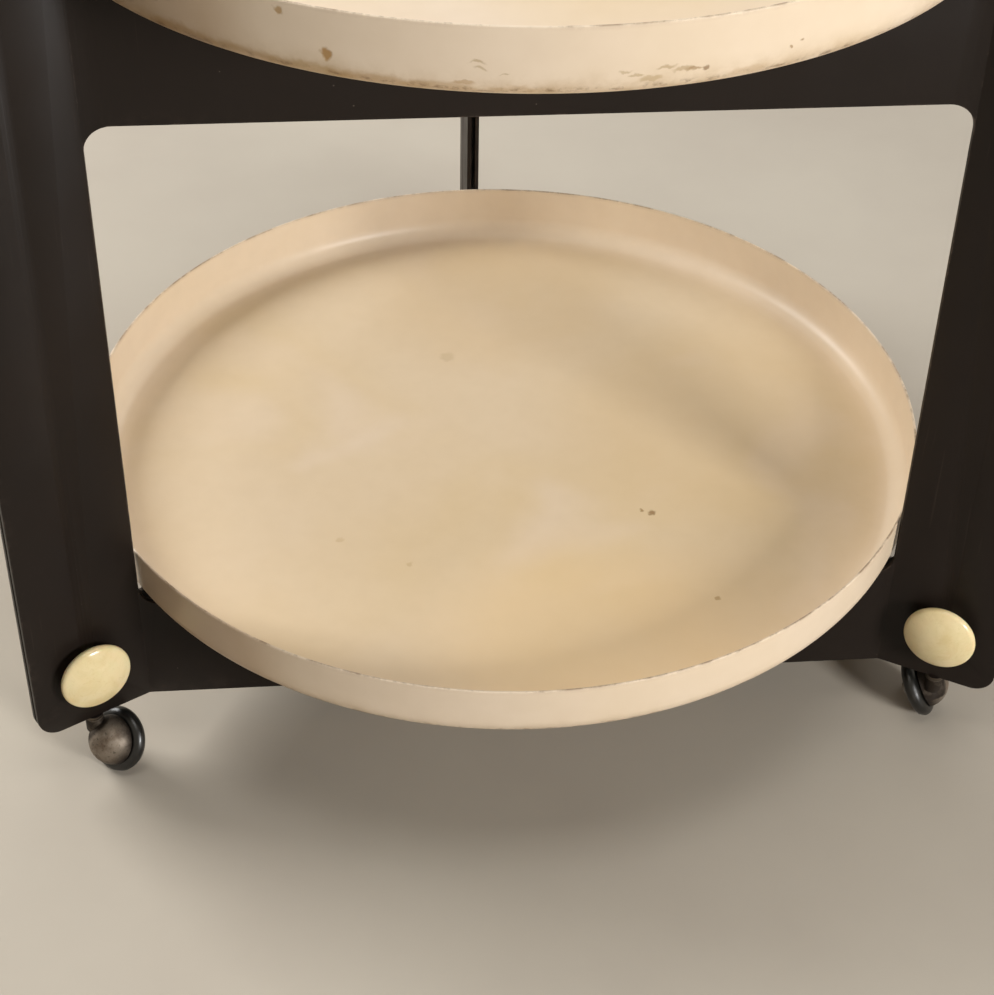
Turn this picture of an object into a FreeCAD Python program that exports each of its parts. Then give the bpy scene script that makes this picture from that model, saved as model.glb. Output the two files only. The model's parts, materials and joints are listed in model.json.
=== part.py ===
import FreeCAD, Part

import math
import os

# Serving cart: three bent sheet panels clamped back to back into a frame with three fins,
# two round trays that sit on the panels' bars, and a ball caster under each fin.
# Millimetres, +Z up. The origin is on the floor under the middle of the cart's footprint.
# The front panel faces -Y. The fins stand at the left front, the right front and the rear.

Vector = FreeCAD.Vector
Z_AXIS = Vector(0, 0, 1)

# Trays
tray_radius = 260.0         # outside of the rim
tray_depth = 37.5           # underside to rim
tray_sheet = 1.6
tray_corner = 14.0          # outside radius between floor and wall
tray_flare = 2.0            # degrees that the wall leans outwards
tray_clearance = 1.0        # rim to the nearest panel edge

# Panels
panel_sheet = 3.0
panel_bend = 1.0            # inside radius of the bend
flange_width = 72.0         # crease to the fin's outer edge
flange_corner = 14.0        # fin's outer corners, and the inner ones at the top
foot_bar_height = 72.0      # carries the lower tray
window_height = 317.0
rail_height = 74.0          # carries the upper tray
fin_rise = 87.0             # fins above the rail
window_corner = 15.0        # upper corners of the window
seat_corner = 12.0          # corners beside the two tray seats

# Studs and knobs that clamp the flanges
stud_diameter = 8.0
stud_hole_clearance = 0.2   # radial, in flanges, brackets and spacers
stud_end_gap = 0.5          # stud end to the bottom of the knob's socket
thread_clearance = 0.05     # radial, in the knob's insert
insert_wall = 1.95
knob_inset = 40.0           # knob centre to the panel's lower or upper edge
knob_diameter = 44.0
knob_neck_wall = 5.0        # round the insert
knob_neck_height = 5.5
knob_edge = 3.0             # rounding of the knob's edge
knob_dome = 4.5             # crown above the rounded edge
knob_crown = 7.0            # solid knob over the insert
spacer_diameter = 24.0      # between the flanges at the upper studs

# Caster brackets: a plate between the flanges with a pintle below
bracket_sheet = 2.0         # also sets the spacers and the gap between the flanges
bracket_width = 30.0
bracket_head = 18.0         # plate above the stud's centre
bracket_corner = 8.0
pintle_diameter = 7.0
pintle_tail = 0.9           # pintle below its clip
collar_lip = 2.0            # collar past the pintle
collar_height = 2.0
clip_lip = 0.8              # snap ring past the pintle, into the hood's boss
clip_sheet = 0.8
clip_groove = 0.9           # depth of the ring's groove in the pintle
clip_mouth = 4.0            # opening of the ring

# Ball casters
swivel_clearance = 0.05     # radial, pintle in boss
axle_clearance = 0.05       # radial, axle in hub
end_play = 0.3              # between faces that turn against each other
seat_clearance = 0.02       # radial, between pieces pressed together
washer_sheet = 0.8
hood_radius = 15.5
hood_wall = 1.5
hood_gap = 0.8              # tyre to the hood's edge
caster_gap = 4.25           # panels' lower edge to the top of the caster
boss_wall = 1.95            # round the pintle
boss_inside = 0.8           # boss below the hood's inner face
boss_floor = 1.2            # under the pintle
pintle_inset = 2.7          # pintle's axis to the hood's inner face, at the ball centre's level
axle_tilt = 30.0            # degrees that the axle rises towards the hood
axle_diameter = 5.0
axle_head_lip = 1.5         # head past the axle
axle_head_height = 1.5
axle_boss_wall = 2.0        # round the axle
axle_cover = 3.5            # axle's end to the hood's outside
hub_boss_wall = 2.5         # round the axle
hub_boss_length = 2.1       # past the hub's rim
hub_dish = 2.4              # height of the hub's outer face
hub_bulge = 0.8             # roundness of the hub's outer face
hub_face_margin = 1.0       # flat round the axle's head
tyre_radius = 20.0
tyre_thickness = 7.5        # hub's rim to the tread
tyre_width = 9.2
tyre_offset = 4.0           # ball centre to the tyre's middle plane

# Panels turned from the front one, and fins and hoods from +X, in degrees
panel_angles = {"panel_front": 0.0, "panel_right": 120.0, "panel_left": 240.0}
fin_angles = {"left": 210.0, "right": 330.0, "rear": 90.0}
caster_angles = {"left": 227.0, "right": 346.0, "rear": 100.0}
fin_faces = {"left": ("front", "back"), "right": ("back", "front"), "rear": ("left", "right")}

# Plan of the frame: the panels' inner faces are set so that the rims just clear the windows' sides
bend_angle = 180.0 / len(panel_angles) / 2
fin_gap = bracket_sheet
fin_thickness = 2 * panel_sheet + fin_gap
bend_run = (panel_bend + panel_sheet) * math.tan(math.radians(bend_angle / 2))
edge_circle = tray_radius + tray_clearance
edge_shift = fin_gap + bend_run
inner_face = (math.sqrt(3) * edge_shift + math.sqrt(4 * edge_circle ** 2 - edge_shift ** 2)) / 4
outer_face = inner_face + panel_sheet
window_half = math.sqrt(3) * inner_face - edge_shift
crease_reach = 2 * outer_face - math.sqrt(3) * (fin_gap / 2 + panel_sheet)
fin_reach = crease_reach + flange_width
stud_reach = crease_reach + flange_width / 2

# Heights above the panels' lower edge
rail_bottom = foot_bar_height + window_height
rail_top = rail_bottom + rail_height
panel_height = rail_top + fin_rise
stud_levels = {"lower": knob_inset, "upper": panel_height - knob_inset}

# Knob and its insert
stud_hole = stud_diameter / 2 + stud_hole_clearance
insert_radius = stud_diameter / 2 + thread_clearance + insert_wall
knob_height = knob_neck_height + 2 * knob_edge + knob_dome
insert_length = knob_height - knob_crown

# Caster heights from the panels' lower edge, and the ball centre seen from the pintle.
# The sideways offset puts the tyre's footprint straight behind the pintle.
tilt = math.radians(axle_tilt)
tread_radius = tyre_width / 2
tread_circle = tyre_radius - tread_radius
tyre_sink = tyre_offset * math.sin(tilt)
tyre_reach = tread_circle * math.cos(tilt) + tread_radius
ball_z = -(caster_gap + max(hood_radius, tyre_reach - tyre_sink))
panel_lift = tyre_reach + tyre_sink - ball_z
hood_inner = hood_radius - hood_wall
boss_reach = hood_inner - pintle_inset
ball_side = tread_circle * math.sin(tilt) - tyre_offset * math.cos(tilt)
caster_trail = math.sqrt(boss_reach ** 2 - ball_side ** 2)
ball_centre = Vector(-ball_side, caster_trail, ball_z)

# Pintle and boss, down the swivel's axis
pintle_hole = pintle_diameter / 2 + swivel_clearance
boss_radius = pintle_hole + boss_wall
boss_top = -collar_height - end_play - washer_sheet
boss_bottom = ball_z + math.sqrt(hood_inner ** 2 - boss_reach ** 2) - boss_inside
hole_bottom = boss_bottom + boss_floor
pintle_end = hole_bottom + end_play
clip_bottom = pintle_end + pintle_tail
clip_top = clip_bottom + clip_sheet
clip_bore = pintle_diameter / 2 - clip_groove
clip_radius = pintle_diameter / 2 + clip_lip

# Wheel, along the axle from the ball centre towards the hood
tyre_inner = tread_radius - tyre_offset
tyre_outer = -tread_radius - tyre_offset
hood_edge = tyre_inner + hood_gap
hub_boss_end = tyre_inner + hub_boss_length
hub_face = tyre_outer - hub_dish
hub_radius = tyre_radius - tyre_thickness
axle_boss_end = hub_boss_end + end_play
axle_head_face = hub_face - end_play
axle_end = hood_radius - axle_cover
axle_head_radius = axle_diameter / 2 + axle_head_lip
hub_face_radius = axle_head_radius + hub_face_margin

# Smallest differences that count when edges are picked
length_step = 0.001
direction_step = 0.000001

# The footprint runs from the front of the trays to the rear fin
axis_y = (tray_radius - fin_reach) / 2


def polar(reach, degrees, z=0.0):
    """Point at a distance and direction from the Z axis."""
    angle = math.radians(degrees)
    return Vector(reach * math.cos(angle), reach * math.sin(angle), z)


def cylinder(radius, low, high):
    """Upright cylinder on the Z axis between two heights."""
    return Part.makeCylinder(radius, high - low, Vector(0, 0, low))


def ring(outer, inner, low, high):
    """Upright ring on the Z axis between two heights."""
    return cylinder(outer, low, high).cut(cylinder(inner, low, high))


def revolve(edges):
    """Solid swept round the Z axis by a closed outline in the XZ plane."""
    return Part.Face(Part.Wire(edges)).revolve(Vector(0, 0, 0), Z_AXIS, 360)


def line(start, end):
    """Straight edge between two (radius, height) points."""
    return Part.makeLine(Vector(start[0], 0, start[1]), Vector(end[0], 0, end[1]))


def arc(centre, radius, first, last):
    """Circular edge in the XZ plane, with angles in degrees from the radius direction."""
    points = []
    for angle in (first, (first + last) / 2, last):
        turn = math.radians(angle)
        across = centre[0] + radius * math.cos(turn)
        points.append(Vector(across, 0, centre[1] + radius * math.sin(turn)))
    return Part.Arc(*points).toShape()


def edges_along(shape, direction, length):
    """Straight edges of a shape that run along a direction and have a given length."""
    found = []
    for edge in shape.Edges:
        if len(edge.Vertexes) == 2 and abs(edge.Length - length) < length_step:
            run = (edge.Vertexes[1].Point - edge.Vertexes[0].Point).normalize()
            if abs(abs(run.dot(direction)) - 1) < direction_step:
                found.append(edge)
    return found


def turned(shape, degrees):
    """Copy of a shape turned about the Z axis."""
    copy = shape.copy()
    copy.rotate(Vector(0, 0, 0), Z_AXIS, degrees)
    return copy


def across_fin(shape, face, z):
    """Copy of a Z-axis shape laid across the fin at +X, on its +Y face (1) or -Y face (-1)."""
    copy = shape.copy()
    copy.rotate(Vector(0, 0, 0), Vector(1, 0, 0), -90 * face)
    copy.translate(Vector(stud_reach, 0, z))
    return copy


def on_face(shape, face, z, degrees):
    """Copy of a Z-axis shape that stands on one face of the fin in a given direction."""
    copy = across_fin(shape, face, z)
    copy.translate(Vector(0, face * fin_thickness / 2, 0))
    return turned(copy, degrees)


def panel_section():
    """Plan of the front panel: a flat between two bends, and two flanges along the fins' sides."""
    def right_side(offset):
        """Flat's end, bend's middle, flange's start and flange's end on a face, counted from inside."""
        radius = panel_bend + panel_sheet - offset
        centre = Vector(window_half, -(outer_face + panel_bend), 0)
        start = centre + polar(radius, 90)
        middle = centre + polar(radius, 90 - bend_angle / 2)
        end = centre + polar(radius, 90 - bend_angle)
        tip = polar(fin_reach, -bend_angle) + polar(fin_gap / 2 + offset, -90 - bend_angle)
        return start, middle, end, tip

    def mirrored(point):
        return Vector(-point.x, point.y, 0)

    inner = right_side(0.0)
    outer = right_side(panel_sheet)
    edges = []
    for start, middle, end, tip in (inner, outer):
        edges.append(Part.makeLine(mirrored(start), start))
        right = (start, middle, end, tip)
        for a, b, c, d in (right, tuple(map(mirrored, right))):
            edges.append(Part.Arc(a, b, c).toShape())
            edges.append(Part.makeLine(c, d))
    edges.append(Part.makeLine(inner[3], outer[3]))
    edges.append(Part.makeLine(mirrored(inner[3]), mirrored(outer[3])))
    return Part.Face(Part.Wire(Part.__sortEdges__(edges)))


def opening(bottom, top, lower_corner, upper_corner):
    """Rounded cutter through the front panel's flat, between the two bends."""
    depth = 4 * panel_sheet
    front = outer_face + (depth - panel_sheet) / 2
    box = Part.makeBox(2 * window_half, depth, top - bottom, Vector(-window_half, -front, bottom))
    for level, radius in ((bottom, lower_corner), (top, upper_corner)):
        if radius:
            corners = edges_along(box, Vector(0, 1, 0), depth)
            box = box.makeFillet(radius, [e for e in corners if abs(e.Vertexes[0].Z - level) < length_step])
    return box


def fin_top_cutter(side):
    """Cutter that rounds the inner top corner of the flange on the right (1) or left (-1)."""
    depth = 2 * fin_reach
    start = Vector(0, -depth / 2, -flange_corner)
    box = Part.makeBox(flange_corner, depth, flange_corner, start)
    centre = start + Vector(flange_corner, 0, 0)
    corner = box.cut(Part.makeCylinder(flange_corner, depth, centre, Vector(0, 1, 0)))
    if side < 0:
        corner = corner.mirror(Vector(0, 0, 0), Vector(1, 0, 0))
    corner.translate(Vector(side * window_half, 0, panel_height))
    return corner


def panel():
    """Front panel: foot bar, window, rail, open top and two drilled flanges."""
    body = panel_section().extrude(Vector(0, 0, panel_height))
    for across in (-90 - bend_angle, -90 + bend_angle):
        edges = edges_along(body, polar(1, across), panel_sheet)
        tips = [e for e in edges if math.hypot(*e.CenterOfMass[:2]) > stud_reach]
        body = body.makeFillet(flange_corner, tips)
    body = body.cut(opening(foot_bar_height, rail_bottom, seat_corner, window_corner))
    body = body.cut(opening(rail_top, panel_height + flange_corner, seat_corner, 0))
    for side in (1, -1):
        body = body.cut(fin_top_cutter(side))
    drill = cylinder(stud_hole, -fin_thickness, fin_thickness)
    for z in stud_levels.values():
        for degrees in (fin_angles["left"], fin_angles["right"]):
            body = body.cut(turned(across_fin(drill, 1, z), degrees))
    return body


def tray():
    """Pressed round tray standing on Z = 0: flat floor, rounded corner, leaning wall and round rim."""
    lean = math.radians(tray_flare)
    half = tray_sheet / 2
    rim = (tray_radius - half, tray_depth - half)
    rim_out = (rim[0] + half * math.cos(lean), rim[1] - half * math.sin(lean))
    rim_in = (rim[0] - half * math.cos(lean), rim[1] + half * math.sin(lean))
    wall = (rim_out[1] - tray_corner + tray_corner * math.sin(lean)) / math.cos(lean)
    wall_run = tray_corner * math.cos(lean) + wall * math.sin(lean)
    corner = (rim_out[0] - wall_run, tray_corner)
    inner_corner = tray_corner - tray_sheet

    def wall_foot(radius):
        return (corner[0] + radius * math.cos(lean), corner[1] - radius * math.sin(lean))

    edges = [
        line((0, 0), (corner[0], 0)),
        arc(corner, tray_corner, -90, -tray_flare),
        line(wall_foot(tray_corner), rim_out),
        arc(rim, half, -tray_flare, 180 - tray_flare),
        line(rim_in, wall_foot(inner_corner)),
        arc(corner, inner_corner, -tray_flare, -90),
        line((corner[0], tray_sheet), (0, tray_sheet)),
        line((0, tray_sheet), (0, 0)),
    ]
    return revolve(edges)


def knob():
    """Domed knob standing on Z = 0, with a blind socket for its insert."""
    neck = insert_radius + knob_neck_wall
    socket = insert_radius + seat_clearance
    edge = (knob_diameter / 2 - knob_edge, knob_neck_height + knob_edge)
    rise = knob_dome + knob_edge
    dome = (edge[0] ** 2 + rise ** 2 - knob_edge ** 2) / (2 * knob_dome)
    dome_centre = (0, knob_height - dome)
    meeting = math.degrees(math.atan2(edge[1] - dome_centre[1], edge[0]))
    edges = [
        line((socket, 0), (neck, 0)),
        line((neck, 0), (neck, knob_neck_height)),
        line((neck, knob_neck_height), (edge[0], knob_neck_height)),
        arc(edge, knob_edge, -90, meeting),
        arc(dome_centre, dome, meeting, 90),
        line((0, knob_height), (0, insert_length)),
        line((0, insert_length), (socket, insert_length)),
        line((socket, insert_length), (socket, 0)),
    ]
    return revolve(edges)


def bracket():
    """Caster bracket at the fin at +X: plate between the flanges, collar under them and pintle."""
    half = bracket_width / 2
    top = knob_inset + bracket_head
    start = Vector(stud_reach - half, -bracket_sheet / 2, 0)
    plate = Part.makeBox(bracket_width, bracket_sheet, top, start)
    corners = edges_along(plate, Vector(0, 1, 0), bracket_sheet)
    plate = plate.makeFillet(bracket_corner, [e for e in corners if e.Vertexes[0].Z > knob_inset])
    drill = cylinder(stud_hole, -fin_thickness, fin_thickness)
    plate = plate.cut(across_fin(drill, 1, knob_inset))
    collar = cylinder(pintle_diameter / 2 + collar_lip, -collar_height, 0)
    pintle = collar.fuse(cylinder(pintle_diameter / 2, pintle_end, 0))
    pintle = pintle.cut(ring(pintle_diameter, clip_bore, clip_bottom, clip_top))
    pintle.translate(Vector(stud_reach, 0, 0))
    return plate.fuse(pintle).removeSplitter()


def clip():
    """Open snap ring in the pintle's groove."""
    body = ring(clip_radius, clip_bore + seat_clearance, clip_bottom, clip_top)
    mouth = Vector(0, -clip_mouth / 2, clip_bottom)
    return body.cut(Part.makeBox(clip_radius, clip_mouth, clip_sheet, mouth))


def on_axle(shape):
    """Copy of a Z-axis shape laid on the caster's tilted axle, with Z = 0 at the ball centre."""
    copy = shape.copy()
    copy.rotate(Vector(0, 0, 0), Vector(0, 1, 0), 90 - axle_tilt)
    copy.translate(ball_centre)
    return copy


def hood():
    """Domed hood with the grooved boss for the pintle on its side and the axle's boss inside."""
    outer_turn = math.degrees(math.asin(hood_edge / hood_radius))
    inner_turn = math.degrees(math.asin(hood_edge / hood_inner))
    outer_rim = (math.sqrt(hood_radius ** 2 - hood_edge ** 2), hood_edge)
    inner_rim = (math.sqrt(hood_inner ** 2 - hood_edge ** 2), hood_edge)
    shell = revolve([
        arc((0, 0), hood_radius, outer_turn, 90),
        line((0, hood_radius), (0, hood_inner)),
        arc((0, 0), hood_inner, 90, inner_turn),
        line(inner_rim, outer_rim),
    ])
    socket = axle_diameter / 2 + seat_clearance
    shell = shell.fuse(cylinder(socket + axle_boss_wall, axle_boss_end, hood_radius - hood_wall / 2))
    shell = shell.cut(cylinder(socket, 0, axle_end))
    body = on_axle(shell).fuse(cylinder(boss_radius, boss_bottom, boss_top))
    body = body.cut(cylinder(pintle_hole, hole_bottom, boss_top))
    body = body.cut(cylinder(clip_radius + end_play, clip_bottom - end_play, clip_top + end_play))
    return body.removeSplitter()


def hub():
    """Wheel hub on the axle: inner boss, rim and dished outer face."""
    bore = axle_diameter / 2 + axle_clearance
    boss = bore + hub_boss_wall
    rim = Vector(hub_radius, 0, tyre_outer)
    face = Vector(hub_face_radius, 0, hub_face)
    outwards = (face - rim).cross(Vector(0, 1, 0)).normalize()
    bulge = (rim + face) / 2 + outwards * hub_bulge
    return on_axle(revolve([
        line((bore, hub_boss_end), (boss, hub_boss_end)),
        line((boss, hub_boss_end), (boss, tyre_inner)),
        line((boss, tyre_inner), (hub_radius, tyre_inner)),
        line((hub_radius, tyre_inner), (hub_radius, tyre_outer)),
        Part.Arc(rim, bulge, face).toShape(),
        line((hub_face_radius, hub_face), (bore, hub_face)),
        line((bore, hub_face), (bore, hub_boss_end)),
    ]))


def axle():
    """Headed axle pin, seated in the hood."""
    pin = cylinder(axle_diameter / 2, axle_head_face, axle_end)
    head = cylinder(axle_head_radius, axle_head_face - axle_head_height, axle_head_face)
    return on_axle(pin.fuse(head).removeSplitter())


def tyre():
    """Rubber tyre with a half-round tread on the hub's rim."""
    bore = hub_radius + seat_clearance
    return on_axle(revolve([
        line((bore, tyre_outer), (tread_circle, tyre_outer)),
        arc((tread_circle, -tyre_offset), tread_radius, -90, 90),
        line((tread_circle, tyre_inner), (bore, tyre_inner)),
        line((bore, tyre_inner), (bore, tyre_outer)),
    ]))


def save(name, solids):
    """Write a node of one or more solids, moved from the frame's axis to the floor's origin."""
    moved = []
    for solid in solids:
        copy = solid.copy()
        copy.translate(Vector(0, axis_y, panel_lift))
        moved.append(copy)
        if not copy.isValid() or len(copy.Solids) != 1:
            raise ValueError(name + " is not one sound solid")
    node = moved[0] if len(moved) == 1 else Part.makeCompound(moved)
    node.exportStep("parts/" + name + ".step")
    print(name, len(moved), "solid(s)", round(node.Volume / 1000, 2), "cm3")


def save_frame():
    """Panels, and the studs, knobs and spacers that clamp them."""
    for name, degrees in panel_angles.items():
        save(name, [turned(panel(), degrees)])
    stud_half = fin_thickness / 2 + insert_length - stud_end_gap
    stud = cylinder(stud_diameter / 2, -stud_half, stud_half)
    insert = ring(insert_radius, stud_diameter / 2 + thread_clearance, 0, insert_length)
    spacer = ring(spacer_diameter / 2, stud_hole, -fin_gap / 2, fin_gap / 2)
    inserts = []
    for fin, degrees in fin_angles.items():
        for level, z in stud_levels.items():
            save("stud_" + fin + "_" + level, [turned(across_fin(stud, 1, z), degrees)])
            for face, side in zip((1, -1), fin_faces[fin]):
                save("_".join(("knob", fin, level, side)), [on_face(knob(), face, z, degrees)])
                inserts.append(on_face(insert, face, z, degrees))
        save("spacer_" + fin, [turned(across_fin(spacer, 1, stud_levels["upper"]), degrees)])
    save("knob_inserts", inserts)


def save_trays():
    """Lower tray on the foot bars and upper tray on the rails."""
    for name, seat in (("lower_tray", foot_bar_height), ("upper_tray", rail_top)):
        body = tray()
        body.translate(Vector(0, 0, seat))
        save(name, [body])


def save_casters():
    """Bracket and ball caster under each fin, each caster turned its own way."""
    washer = ring(boss_radius, pintle_hole, boss_top, boss_top + washer_sheet)
    turning = {"hood": hood(), "axle": axle(), "hub": hub(), "tyre": tyre(), "washer": washer}
    for fin, degrees in fin_angles.items():
        save("bracket_" + fin, [turned(bracket(), degrees)])
        pieces = {name: turned(piece, caster_angles[fin]) for name, piece in turning.items()}
        pieces["clip"] = turned(clip(), degrees)
        for name, piece in pieces.items():
            piece.translate(polar(stud_reach, degrees))
            save(name + "_" + fin, [piece])


def metres(point):
    """Coordinates of a point in metres."""
    return [round(value / 1000, 6) for value in point]


def print_joints():
    """Joint places and directions, and the trays' floors, in metres from the floor's origin."""
    for fin, degrees in fin_angles.items():
        foot = polar(stud_reach, degrees) + Vector(0, axis_y, panel_lift)
        turn = FreeCAD.Rotation(Z_AXIS, caster_angles[fin])
        ball = foot + turn.multVec(ball_centre)
        axle_way = turn.multVec(Vector(math.cos(tilt), 0, math.sin(tilt)))
        print("swivel", fin, metres(foot), "ball", metres(ball), "axle", [round(v, 6) for v in axle_way])
    for name, seat in (("lower", foot_bar_height), ("upper", rail_top)):
        print(name, "tray floor", metres(Vector(0, axis_y, panel_lift + seat + tray_sheet)))


os.makedirs("parts", exist_ok=True)
save_frame()
save_trays()
save_casters()
print_joints()
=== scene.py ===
# %% [markdown]
# # A serving cart in black lacquer and cream enamel
# Three bent steel panels, lacquered black, are clamped back to back by ivory knobs. Two enamelled
# trays rest on their bars, and the fins stand on small ball casters. The solids of all of these are
# ready, so this script only gives them their surfaces: softer edges, rounder turned pieces, and the
# finish that years of use have left on each material.

# %% Load the frame
import json
import math

import bmesh
import bpy
import numpy as np
from mathutils import Matrix, Vector


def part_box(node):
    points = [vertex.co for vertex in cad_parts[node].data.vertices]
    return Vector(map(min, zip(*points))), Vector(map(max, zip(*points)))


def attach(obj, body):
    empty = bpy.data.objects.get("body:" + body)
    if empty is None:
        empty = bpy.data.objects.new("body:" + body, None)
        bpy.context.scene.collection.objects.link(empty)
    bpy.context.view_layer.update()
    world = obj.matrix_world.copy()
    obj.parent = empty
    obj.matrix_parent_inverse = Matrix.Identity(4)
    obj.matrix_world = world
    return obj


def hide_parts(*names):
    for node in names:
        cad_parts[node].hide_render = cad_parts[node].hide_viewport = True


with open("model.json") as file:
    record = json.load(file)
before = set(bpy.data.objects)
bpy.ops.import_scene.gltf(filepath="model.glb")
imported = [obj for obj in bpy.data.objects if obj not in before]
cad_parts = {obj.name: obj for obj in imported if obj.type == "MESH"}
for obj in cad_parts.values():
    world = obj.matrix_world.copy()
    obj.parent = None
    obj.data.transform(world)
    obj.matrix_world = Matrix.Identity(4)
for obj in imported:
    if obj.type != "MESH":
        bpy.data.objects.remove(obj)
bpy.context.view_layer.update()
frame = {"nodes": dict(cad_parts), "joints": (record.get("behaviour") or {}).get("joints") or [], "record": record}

# %% [markdown]
# Places are read from the solids, so a piece made here always lies where its solid lies. The trays
# share one upright axis, and most sizes below are counted from it or from the panels' lower edge.

# %% Measure the solids
MM = 0.001
FINS = ("left", "right", "rear")
nodes = frame["nodes"]
joints = {joint["name"]: joint for joint in frame["joints"]}
bodies = frame["record"]["behaviour"]["bodies"]
body_of = {node: body for body, members in bodies.items() for node in members}


def points_of(mesh):
    """Corners of a mesh as rows of x, y and z."""
    points = np.empty(len(mesh.vertices) * 3)
    mesh.vertices.foreach_get("co", points)
    return points.reshape(-1, 3)


tray_low, tray_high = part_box("lower_tray")
tray_axis = (tray_low + tray_high) / 2
tray_radius = (tray_high.x - tray_low.x) / 2
tray_depth = tray_high.z - tray_low.z
panel_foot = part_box("panel_front")[0].z
print("trays", round(2 * tray_radius / MM), "mm across,", round(tray_depth / MM, 1), "mm deep")

# %% [markdown]
# A new piece is a grid of points. Each point joins its neighbours in four-sided faces, the columns
# close into a ring, and a row whose points all coincide is one pole. Numbers that belong to a row,
# such as how near it lies to a rim, go along as an attribute that a material can read. A finished
# piece hides the solid that it stands for and moves with the same body.

# %% Make pieces from grids
POLE_WIDTH = 0.001 * MM
dressed = set()


def new_piece(name, mesh, material, masks):
    """Object of a mesh with smooth shading, one material, and masks as attributes of its points."""
    for mask, values in masks.items():
        attribute = mesh.attributes.new(mask, "FLOAT", "POINT")
        attribute.data.foreach_set("value", values.astype(np.float32))
    mesh.shade_smooth()
    mesh.materials.clear()
    mesh.materials.append(material)
    piece = bpy.data.objects.new(name, mesh)
    bpy.context.scene.collection.objects.link(piece)
    return piece


def make_piece(name, grid, material, ring=False, masks=None):
    """Mesh over a grid: row i and column j join rows i, i + 1 and columns j, j + 1."""
    rows, columns = grid.shape[:2]
    keep = np.ones((rows, columns), bool)
    keep[np.ptp(grid, axis=1).max(axis=1) < POLE_WIDTH, 1:] = False
    number = (np.cumsum(keep) - 1).reshape(rows, columns)
    below = number if ring else number[:-1]
    above = np.roll(number, -1, axis=0) if ring else number[1:]
    corners = (below, np.roll(below, -1, 1), np.roll(above, -1, 1), above)
    quads = np.stack(corners, -1).reshape(-1, 4)
    first = quads[:, 0] == quads[:, 1]
    last = quads[:, 2] == quads[:, 3]
    faces = quads[~(first | last)].tolist()
    faces += quads[first][:, [0, 2, 3]].tolist() + quads[last][:, [0, 1, 2]].tolist()
    mesh = bpy.data.meshes.new(name)
    mesh.from_pydata(grid[keep].tolist(), [], faces)
    spread = {mask: np.broadcast_to(values.reshape(rows, -1), (rows, columns))[keep]
              for mask, values in (masks or {}).items()}
    return new_piece(name, mesh, material, spread)


def stand_for(piece, node):
    """The piece takes the place and the body of a solid, and the solid is hidden."""
    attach(piece, body_of[node])
    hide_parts(node)
    dressed.add(node)


# %% [markdown]
# Trays, knobs and tyres are all turned, so one tool carries a profile round an axis. The profiles
# are drawn from straight runs and arcs, as a turner's template is.

# %% Draw and turn profiles
def arc(centre, radius, first, last, count):
    """Points on a circle: centre plus radius times (cosine, sine) of evenly spaced angles."""
    angle = np.radians(np.linspace(first, last, count))
    return np.column_stack((centre[0] + radius * np.cos(angle), centre[1] + radius * np.sin(angle)))


def run(start, end, count):
    """Evenly spaced points on a straight line."""
    share = np.linspace(0, 1, count)[:, None]
    return (1 - share) * np.array(start) + share * np.array(end)


def lathe(profile, turns, origin, axis):
    """Profile turned round an axis: origin + radius (cos u + sin v) + height axis."""
    along = np.array(Vector(axis).normalized())
    across = np.eye(3)[0] if abs(along[0]) < 0.9 else np.eye(3)[1]
    across = across - along * (across @ along)
    across /= np.linalg.norm(across)
    angle = np.arange(turns) * 2 * np.pi / turns
    circle = np.outer(np.cos(angle), across) + np.outer(np.sin(angle), np.cross(along, across))
    radius, height = profile[:, 0, None, None], profile[:, 1, None, None]
    return np.array(origin) + radius * circle + height * along


def smooth_step(low, high, values):
    """0 below low, 1 above high, and 3t^2 - 2t^3 between them."""
    share = np.clip((values - low) / (high - low), 0, 1)
    return share * share * (3 - 2 * share)


# %% [markdown]
# Materials are built from nodes. Their colours are written as the screen shows them and turned to
# linear light here. Pattern sizes are real millimetres: a noise texture of scale 1000 / size has
# blotches of about that size, because the scene is in metres. The Mix node repeats its socket names
# for each type of value, so its sockets for colours are called by number.

# %% Small tools for materials
SHARE, UNDER, OVER = 0, 6, 7
COLOURS = {"out": 2, "data_type": "RGBA"}
SMOOTH = {"interpolation_type": "SMOOTHSTEP"}


def linear(code):
    """Linear red, green, blue and alpha of an sRGB hex colour, by the two-part sRGB curve."""
    srgb = np.array([int(code[i:i + 2], 16) for i in (1, 3, 5)]) / 255
    light = np.where(srgb <= 0.04045, srgb / 12.92, ((srgb + 0.055) / 1.055) ** 2.4)
    return (*light.tolist(), 1.0)


def per(size):
    """Texture scale for a pattern of a size in millimetres."""
    return 1 / (size * MM)


def add(tree, kind, inputs=None, out=0, **settings):
    """New node with its settings; inputs are values or sockets, and one output comes back."""
    node = tree.nodes.new("ShaderNode" + kind)
    for name, value in settings.items():
        setattr(node, name, value)
    for name, value in (inputs or {}).items():
        if isinstance(value, bpy.types.NodeSocket):
            tree.links.new(value, node.inputs[name])
        else:
            node.inputs[name].default_value = value
    return node.outputs[out]


def new_material(name, **sockets):
    """Material with one shader, the constants set on its own sockets."""
    material = bpy.data.materials.new(name)
    material.use_nodes = True
    shader = material.node_tree.nodes["Principled BSDF"]
    for socket, value in sockets.items():
        shader.inputs[socket.replace("_", " ")].default_value = value
    return material, material.node_tree, shader


# %% [markdown]
# ## Cream enamel
# The trays were pressed from steel sheet and sprayed with stoved enamel, a hard and smooth coat.
# Its colour is never even: age gives it soft yellow clouds, most of all on the floor, a faint blush,
# and a fine mottle. A flat cream would look like plastic. Each of these is one mask that mixes
# another colour in. The clouds come from noise, and what belongs to the wall or the floor is read
# from attributes of the tray.

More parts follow.
